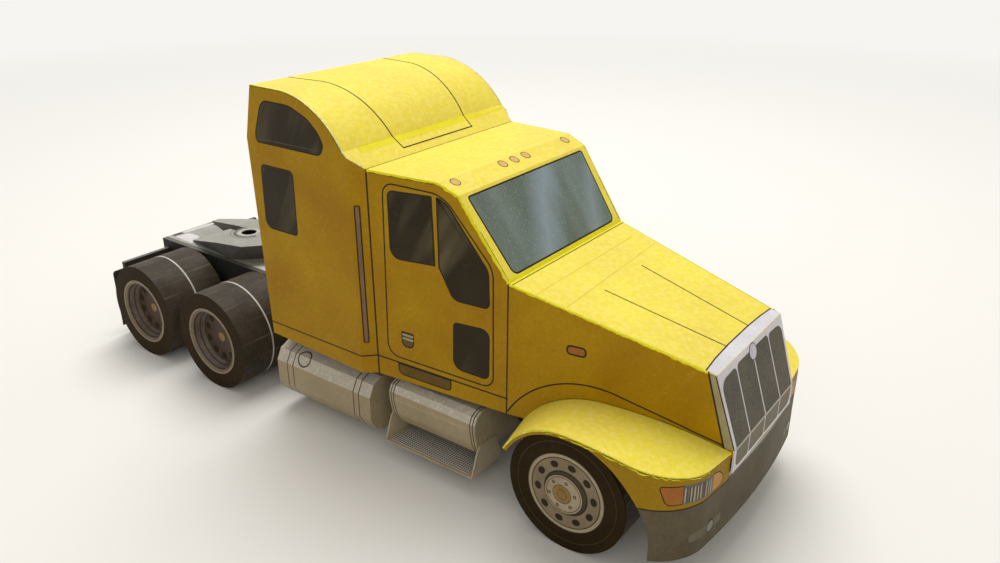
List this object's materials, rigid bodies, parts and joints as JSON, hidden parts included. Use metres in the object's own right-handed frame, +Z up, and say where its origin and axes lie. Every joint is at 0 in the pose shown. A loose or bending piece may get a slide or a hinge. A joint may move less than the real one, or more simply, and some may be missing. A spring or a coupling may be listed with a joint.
{
  "type": "card model semi truck tractor unit",
  "caption": "Printed card model of a conventional sleeper truck tractor, with a boxed chassis, raised fifth wheel, side tanks, step trays and axles that roll.",
  "frame": {"origin": "on the table, under the middle of the model's bounding box", "axes": "+X towards the nose, +Y to the model's left side, +Z up"},
  "size_m": [0.2048, 0.0722, 0.0905],
  "materials": {
    "yellow_card": "printed matt card",
    "grey_card": "printed matt card",
    "bumper_card": "printed matt card",
    "dark_card": "printed matt card",
    "light_card": "printed matt card",
    "silver_card": "printed matt card",
    "tyre_card": "printed matt card",
    "wheel_card": "printed matt card"
  },
  "bodies": {
    "truck": {"cab_side_left": "yellow_card", "cab_side_right": "yellow_card", "cab_top_strip": "yellow_card", "grille_card": "grey_card", "sleeper_side_left": "yellow_card", "sleeper_side_right": "yellow_card", "sleeper_roof": "yellow_card", "sleeper_back": "yellow_card", "body_floor": "grey_card", "fender_top_left": "yellow_card", "fender_top_right": "yellow_card", "front_band": "bumper_card", "chassis_box": "dark_card", "fifth_wheel": "light_card", "fuel_tank_left": "silver_card", "fuel_tank_right": "silver_card", "tool_box_left": "silver_card", "tool_box_right": "silver_card", "step_tray_left": "silver_card", "step_tray_right": "silver_card", "flap_hanger_left": "dark_card", "flap_hanger_right": "dark_card", "mud_flap_left": "dark_card", "mud_flap_right": "dark_card"},
    "front_wheelset": {"front_axle": "light_card", "front_drum_left": "tyre_card", "front_drum_right": "tyre_card", "front_wheel_face_left": "wheel_card", "front_wheel_face_right": "wheel_card"},
    "rear_wheelset_1": {"rear_axle_1": "light_card", "dual_drum_1_left": "tyre_card", "dual_drum_1_right": "tyre_card", "rim_dish_1_left": "wheel_card", "rim_dish_1_right": "wheel_card"},
    "rear_wheelset_2": {"rear_axle_2": "light_card", "dual_drum_2_left": "tyre_card", "dual_drum_2_right": "tyre_card", "rim_dish_2_left": "wheel_card", "rim_dish_2_right": "wheel_card"}
  },
  "joints": [
    {"name": "front_axle_spin", "type": "hinge", "parent": "truck", "child": "front_wheelset", "pos_m": [0.07208, 0, 0.0146], "axis": [0, 1, 0], "continuous": true},
    {"name": "rear_axle_1_spin", "type": "hinge", "parent": "truck", "child": "rear_wheelset_1", "pos_m": [-0.04772, 0, 0.0146], "axis": [0, 1, 0], "continuous": true},
    {"name": "rear_axle_2_spin", "type": "hinge", "parent": "truck", "child": "rear_wheelset_2", "pos_m": [-0.08132, 0, 0.0146], "axis": [0, 1, 0], "continuous": true}
  ]
}
